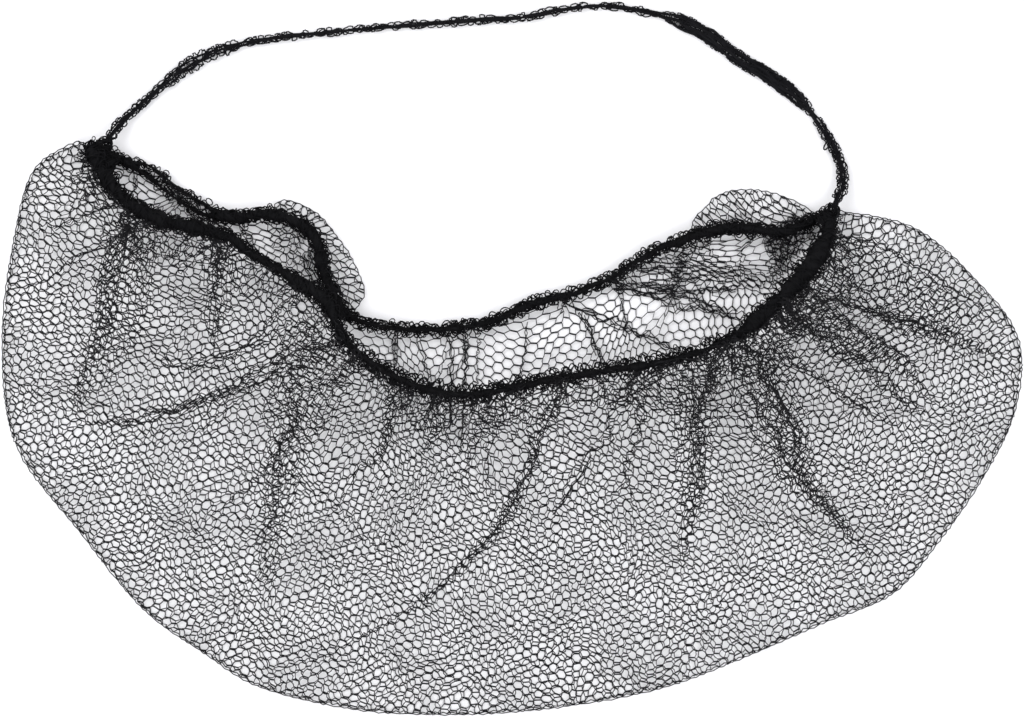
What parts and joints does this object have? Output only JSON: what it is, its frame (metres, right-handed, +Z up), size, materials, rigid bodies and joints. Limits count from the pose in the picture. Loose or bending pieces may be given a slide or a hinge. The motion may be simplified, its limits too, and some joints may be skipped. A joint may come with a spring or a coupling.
{
  "type": "disposable beard net",
  "caption": "Soft mesh beard cover lying flat: a gathered net pouch with an open mouth, two gathered rims, a tie at either end and a looped elastic head strap.",
  "frame": {"origin": "on the surface that it lies on, under the middle of the box of the pouch with its rims and ties", "axes": "+X along the mouth from the left tie to the right one, +Y from the pouch towards the head strap, +Z up"},
  "size_m": [0.3032, 0.212, 0.0305],
  "materials": {
    "netting": "fine black nylon thread knitted into an open honeycomb net",
    "gathered_edge": "black net edge gathered tightly on elastic thread, matt and looped",
    "elastic_strap": "thin black covered elastic with small open loops along both sides"
  },
  "bodies": {
    "root": {"net_pouch": "netting", "front_rim": "gathered_edge", "back_rim": "gathered_edge", "left_tie": "gathered_edge", "right_tie": "gathered_edge", "head_strap": "elastic_strap"}
  },
  "joints": []
}
